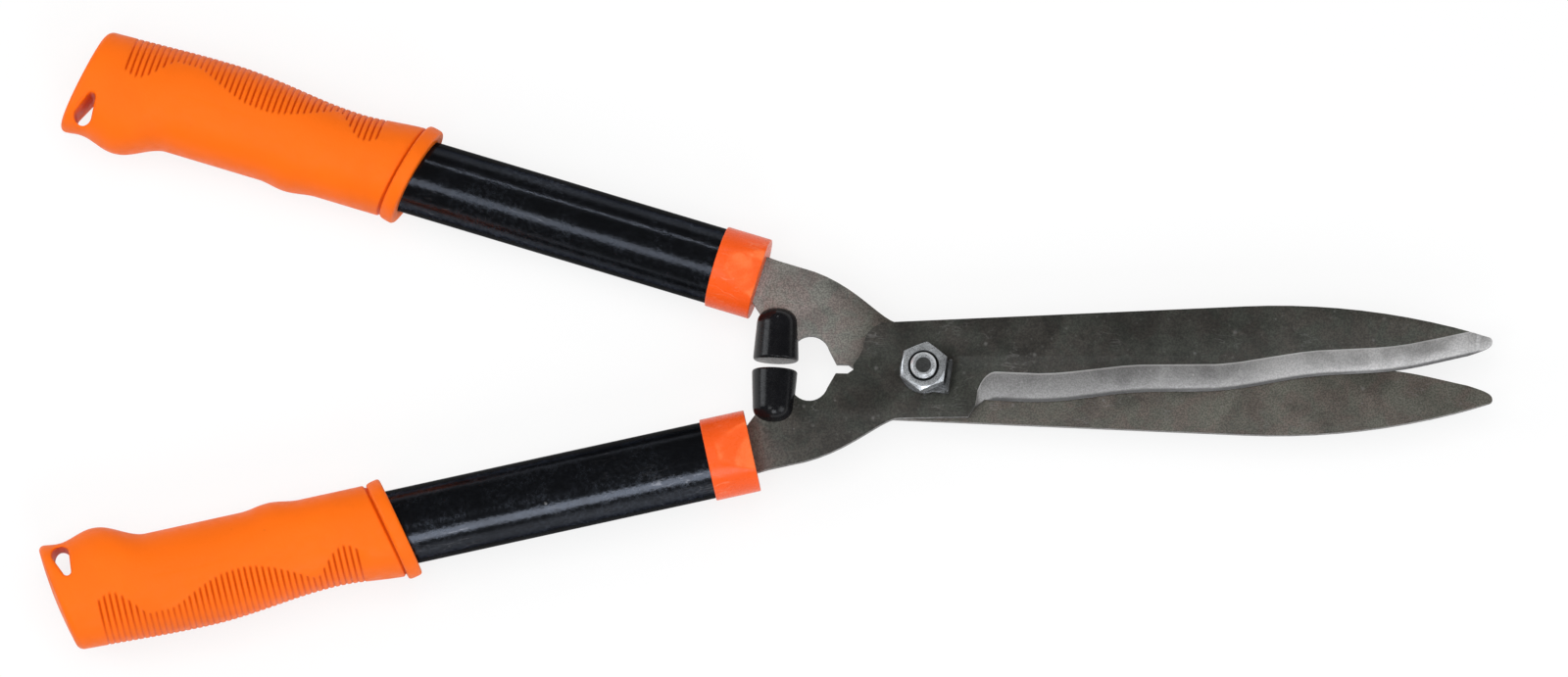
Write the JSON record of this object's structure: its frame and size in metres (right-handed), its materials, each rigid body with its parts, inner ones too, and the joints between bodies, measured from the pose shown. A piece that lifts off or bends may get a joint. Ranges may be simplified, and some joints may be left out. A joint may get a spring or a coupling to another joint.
{
  "type": "hedge shears",
  "caption": "Hedge and grass shears: wavy-edged steel blades crossing on a bolted pivot, rubber stop bumpers, orange ferrules, black tube handles and ribbed orange grips with hang holes.",
  "frame": {"origin": "on the pivot bolt's axis, midway between the two blades", "axes": "+X towards the blade tips along the handles' middle line, +Y towards the rear half's handle, +Z along the pivot bolt towards its nut"},
  "size_m": [0.5599, 0.2422, 0.0408],
  "materials": {
    "blade_steel": "hot-rolled dark steel with a bright ground bevel",
    "bumper_rubber": "smooth black rubber",
    "plug_plastic": "plain moulded plastic, hidden",
    "ferrule_plastic": "smooth reddish orange plastic",
    "tube_paint": "black gloss paint, lightly scuffed",
    "grip_plastic": "satin orange plastic with fine ribs on its outer side",
    "bolt_zinc": "bright zinc plate",
    "nut_zinc": "bright zinc plate",
    "tab_zinc": "bright zinc plate",
    "washer_zinc": "bright zinc plate"
  },
  "bodies": {
    "rear_half": {"rear_blade": "blade_steel", "rear_bumper": "bumper_rubber", "rear_tang_plug": "plug_plastic", "rear_ferrule": "ferrule_plastic", "rear_tube": "tube_paint", "rear_grip": "grip_plastic", "pivot_bolt": "bolt_zinc", "pivot_nut": "nut_zinc", "lock_tab_washer": "tab_zinc", "head_washer": "washer_zinc"},
    "front_half": {"front_blade": "blade_steel", "front_bumper": "bumper_rubber", "front_tang_plug": "plug_plastic", "front_ferrule": "ferrule_plastic", "front_tube": "tube_paint", "front_grip": "grip_plastic"}
  },
  "joints": [
    {"name": "blade_pivot", "type": "hinge", "parent": "rear_half", "child": "front_half", "pos_m": [0, 0, 0], "axis": [0, 0, 1], "range_deg": [-3.6, 118]}
  ]
}
